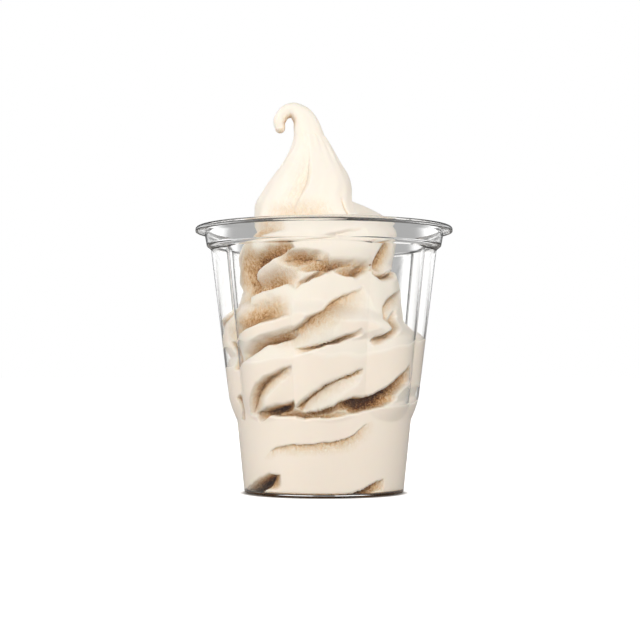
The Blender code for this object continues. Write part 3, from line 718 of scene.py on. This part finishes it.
def add_node(tree, kind, inputs=None, **settings):
    """A new node with its settings. Each input, by its name or place, takes a fixed value or the output of
    another node."""
    node = tree.nodes.new(kind)
    for name, value in settings.items():
        setattr(node, name, value)
    for place, value in (inputs or {}).items():
        if isinstance(value, bpy.types.NodeSocket):
            tree.links.new(value, node.inputs[place])
        else:
            node.inputs[place].default_value = value
    return node


def opaque(colour):
    return (*colour, 1.0)


def stored_value(tree, name):
    """A value that the mesh keeps for each of its points."""
    return add_node(tree, "ShaderNodeAttribute", attribute_name=name).outputs["Fac"]


def object_place(tree):
    return add_node(tree, "ShaderNodeTexCoord").outputs["Object"]


def noise(tree, place, scale, detail):
    inputs = {"Vector": place, "Scale": scale, "Detail": detail}
    return add_node(tree, "ShaderNodeTexNoise", inputs).outputs["Fac"]


def computed(tree, operation, *values):
    return add_node(tree, "ShaderNodeMath", dict(enumerate(values)), operation=operation).outputs["Value"]


def spread(tree, value, low, high, start=0.0, end=1.0, curve="LINEAR"):
    """The value taken from its range of low to high to one of start to end."""
    inputs = {"Value": value, "From Min": low, "From Max": high, "To Min": start, "To Max": end}
    return add_node(tree, "ShaderNodeMapRange", inputs, interpolation_type=curve).outputs["Result"]


def mixed_colour(tree, share, first, second):
    inputs = {"Factor": share, "A": first, "B": second}
    return add_node(tree, "ShaderNodeMix", inputs, data_type="RGBA").outputs["Result"]


def mixed_shader(tree, share, first, second):
    return add_node(tree, "ShaderNodeMixShader", {"Fac": share, 1: first, 2: second}).outputs["Shader"]


def bumped(tree, height, distance, strength, normal=None):
    inputs = {"Height": height, "Distance": distance, "Strength": strength}
    if normal:
        inputs["Normal"] = normal
    return add_node(tree, "ShaderNodeBump", inputs).outputs["Normal"]


def new_material(name):
    made = bpy.data.materials.new(name)
    made.use_nodes = True
    made.node_tree.nodes.clear()
    return made, made.node_tree


def soft_serve_material():
    """Whipped cream-coloured ice: soft and pale where it is free, smooth and duller where it is pressed on
    the wall, grainy in the folds, where painted shade turns it warm brown."""
    made, tree = new_material("soft_serve")
    shade = stored_value(tree, "shade")
    pressed = stored_value(tree, "pressed")
    place = object_place(tree)
    slant = add_node(tree, "ShaderNodeMapping", {
        "Vector": place, "Rotation": (0.0, math.radians(GRAIN_SLANT), 0.0), "Scale": GRAIN_STRETCH,
    })
    grain = noise(tree, slant.outputs["Vector"], GRAIN_SCALE, GRAIN_DETAIL)
    crumb = noise(tree, place, CRUMB_SCALE, CRUMB_DETAIL)
    soft = noise(tree, place, SOFT_SCALE, SOFT_DETAIL)

    # Painted shade in the folds, at the foot and in the curl, broken up by grain and crumb, turns the cream
    # tan, brown and near black
    mottled = shade
    for fleck, share in ((grain, GRAIN_SHADE), (crumb, CRUMB_SHADE)):
        mottled = computed(tree, "MULTIPLY", mottled, spread(tree, fleck, NOISE_LOW, NOISE_HIGH, *share))
    colour = mixed_colour(tree, pressed, opaque(CREAM), opaque(CREAM_PRESSED))
    for deeper, start, full in PAINTED_SHADE_COLOURS:
        share = spread(tree, mottled, start, full, curve="SMOOTHSTEP")
        colour = mixed_colour(tree, share, colour, opaque(deeper))

    free = computed(tree, "SUBTRACT", 1.0, pressed)
    torn = computed(tree, "MULTIPLY", spread(tree, shade, *TORN_SHADES, *TORN_DEPTHS), free)
    normal = bumped(tree, grain, GRAIN_DEPTH, torn)
    normal = bumped(tree, crumb, CRUMB_DEPTH, torn, normal)
    normal = bumped(tree, soft, SOFT_DEPTH, SOFT_STRENGTH, normal)
    shader = add_node(tree, "ShaderNodeBsdfPrincipled", {
        "Base Color": colour,
        "Roughness": spread(tree, pressed, 0.0, 1.0, ROUGHNESS_FREE, ROUGHNESS_PRESSED),
        "Specular IOR Level": 0.2,
        "Subsurface Weight": 0.12,
        "Subsurface Radius": (1.0, 0.5, 0.25),
        "Subsurface Scale": 0.0020,
        "Normal": normal,
    })
    add_node(tree, "ShaderNodeOutputMaterial", {"Surface": shader.outputs["BSDF"]})
    return made


def clear_plastic_material():
    """Thin clear plastic with a faint cast, with a painted dark line on the rim's bead for its dark
    refraction and painted shadow at the foot. Lamp light and bounced light pass straight through it."""
    made, tree = new_material("clear_plastic")
    smear = noise(tree, object_place(tree), SMEAR_SCALE, SMEAR_DETAIL)
    # The base colour darkens to the painted dark line on the rim and the painted shadow at the foot
    plastic = add_node(tree, "ShaderNodeBsdfPrincipled", {
        "Base Color": mixed_colour(tree, stored_value(tree, "painted_dark"), opaque(CLEAR), opaque(CLEAR_PAINTED_DARK)),
        "Transmission Weight": 1.0,
        "IOR": 1.45,
        "Roughness": spread(tree, smear, 0.0, 1.0, *SMEAR_ROUGHNESS),
        "Normal": bumped(tree, smear, SMEAR_DEPTH, SMEAR_STRENGTH),
    })
    let_through = add_node(tree, "ShaderNodeBsdfTransparent", {"Color": opaque(CLEAR_LIGHT)})
    ray = add_node(tree, "ShaderNodeLightPath").outputs
    is_light = computed(tree, "MAXIMUM", ray["Is Shadow Ray"], ray["Is Diffuse Ray"])
    shader = mixed_shader(tree, is_light, plastic.outputs["BSDF"], let_through.outputs["BSDF"])
    add_node(tree, "ShaderNodeOutputMaterial", {"Surface": shader})
    return made


def store(item, name, values):
    """Keep one value for each point of a mesh, for its material to read."""
    layer = item.data.attributes.new(name, "FLOAT", "POINT")
    layer.data.foreach_set("value", values.astype(np.float32))


def painted_plastic_dark(points):
    """How much painted dark the plastic gets: a line along the rolled rim, strongest where it faces front or
    back, for its dark refraction, and painted shadow along the foot."""
    height = points[:, 2]
    out = np.hypot(points[:, 0], points[:, 1])
    facing = (points[:, 1] / np.maximum(out, WALL)) ** 4
    bead = np.clip(1.0 - np.abs(height - BEAD_LINE) / BEAD_REACH, 0.0, 1.0) * (out > RIM_RADIUS - WALL)
    foot = FOOT_PAINTED_SHADOW_SHARE * np.clip(1.0 - height / FOOT_EDGE, 0.0, 1.0)
    return np.maximum(bead * facing, foot)


def build_cup():
    cup = ring_mesh("clear_cup", cup_rings())
    points = np.zeros(len(cup.data.vertices) * 3)
    cup.data.vertices.foreach_get("co", points)
    # Painted dark on the rim's bead and painted shadow at the foot
    store(cup, "painted_dark", painted_plastic_dark(points.reshape(-1, 3)))
    cup.data.set_sharp_from_angle(angle=math.radians(CREASE_ANGLE))
    cup.data.materials.append(clear_plastic_material())
    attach(cup, "root")
    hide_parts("cup")


def build_soft_serve():
    angles = LOBE_TURN + np.arange(SERVE_SEGMENTS) * 360.0 / SERVE_SEGMENTS
    rings, values = piped_rings(angles)
    tip_rings, tip_values = curl_rings(angles)
    serve = ring_mesh("piped_swirl", rings + tip_rings)
    end_points = np.zeros((2, 2))
    shade, pressed = np.concatenate(values + tip_values + [end_points]).T
    # The painted shade of each point, and how hard it is pressed on the wall
    store(serve, "shade", shade)
    store(serve, "pressed", pressed)
    serve.data.materials.append(soft_serve_material())
    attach(serve, "root")
    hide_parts("soft_serve")


def aim(item, target):
    way = Vector(target) - item.location
    item.rotation_euler = way.to_track_quat("-Z", "Y").to_euler()


def add_camera():
    data = bpy.data.cameras.new("camera")
    data.lens = CAMERA_LENS
    data.sensor_width = SENSOR
    data.clip_start = 0.01
    camera = bpy.data.objects.new("camera", data)
    bpy.context.scene.collection.objects.link(camera)
    camera.location = CAMERA_PLACE
    aim(camera, CAMERA_TARGET)
    bpy.context.scene.camera = camera


def add_lights():
    """Soft lamps that light the swirl but are not mirrored in the cup, which mirrors the world alone."""
    for lamp in LAMPS:
        data = bpy.data.lights.new(lamp.name, "AREA")
        data.shape = "RECTANGLE"
        data.size, data.size_y = lamp.size
        data.energy = lamp.power
        data.color = lamp.colour
        item = bpy.data.objects.new(lamp.name, data)
        bpy.context.scene.collection.objects.link(item)
        item.location = lamp.place
        aim(item, lamp.target)
        item.visible_camera = False
        item.visible_glossy = False
        item.visible_transmission = False


def add_world():
    """White for the eye, and a soft light on the swirl. Seen through the cup or mirrored in it, it is greyer
    in the middle, brighter to the sides and darker high up, which draws the walls and the rim."""
    world = bpy.data.worlds.new("studio")
    bpy.context.scene.world = world
    world.use_nodes = True
    tree = world.node_tree
    tree.nodes.clear()
    place = add_node(tree, "ShaderNodeTexCoord").outputs["Generated"]
    way = add_node(tree, "ShaderNodeSeparateXYZ", {"Vector": place}).outputs
    aside = computed(tree, "ABSOLUTE", way["X"])
    high = computed(tree, "ABSOLUTE", way["Z"])

    def sky(brightness):
        inputs = {"Color": opaque(WHITE), "Strength": brightness}
        return add_node(tree, "ShaderNodeBackground", inputs).outputs["Background"]

    def graded(sideways, upwards):
        across = spread(tree, aside, *sideways, curve="SMOOTHSTEP")
        up = spread(tree, high, *upwards, curve="SMOOTHSTEP")
        return computed(tree, "MULTIPLY", across, up)

    ray = add_node(tree, "ShaderNodeLightPath").outputs
    shader = mixed_shader(tree, ray["Is Glossy Ray"], sky(SKY_LIGHT), sky(graded(*MIRRORED)))
    shader = mixed_shader(tree, ray["Is Transmission Ray"], shader, sky(graded(*SEEN_THROUGH)))
    shader = mixed_shader(tree, ray["Is Camera Ray"], shader, sky(1.0))
    add_node(tree, "ShaderNodeOutputWorld", {"Surface": shader})


def floor_material():
    """A glow that melts into the white surroundings and is left out near the axis, a painted soft shadow
    under the cup. The light that the floor sends up at the cup is that of its dull colour, without the glow."""
    made, tree = new_material("floor")
    away = add_node(tree, "ShaderNodeVectorMath", {0: object_place(tree)}, operation="LENGTH")
    # The glow fades out towards the axis: a painted shadow under the cup
    strength = spread(tree, away.outputs["Value"], GLOW_START, GLOW_FULL, curve="SMOOTHSTEP")
    glow = add_node(tree, "ShaderNodeEmission", {"Color": opaque(WHITE), "Strength": strength})
    matte = add_node(tree, "ShaderNodeBsdfDiffuse", {"Color": opaque(FLOOR_COLOUR)}).outputs["BSDF"]
    both = add_node(tree, "ShaderNodeAddShader", {0: matte, 1: glow.outputs["Emission"]}).outputs["Shader"]
    ray = add_node(tree, "ShaderNodeLightPath").outputs
    without_glow = computed(
        tree, "MULTIPLY_ADD", ray["Glossy Depth"], GLOW_LOST_IN_MIRROR, ray["Is Diffuse Ray"],
    )
    shader = mixed_shader(tree, without_glow, both, matte)
    add_node(tree, "ShaderNodeOutputMaterial", {"Surface": shader})
    return made


def add_floor():
    reach = FLOOR_REACH
    corners = [(-reach, -reach, 0), (reach, -reach, 0), (reach, reach, 0), (-reach, reach, 0)]
    mesh = bpy.data.meshes.new("floor")
    mesh.from_pydata(corners, [], [(0, 1, 2, 3)])
    mesh.materials.append(floor_material())
    floor = bpy.data.objects.new("floor", mesh)
    bpy.context.scene.collection.objects.link(floor)
    floor.location.z = -FLOOR_DROP


def set_colours():
    scene = bpy.context.scene
    scene.view_settings.view_transform = "Standard"
    scene.view_settings.look = "None"
    scene.cycles.use_denoising = True


add_camera()
build_cup()
build_soft_serve()
add_floor()
add_lights()
add_world()
set_colours()
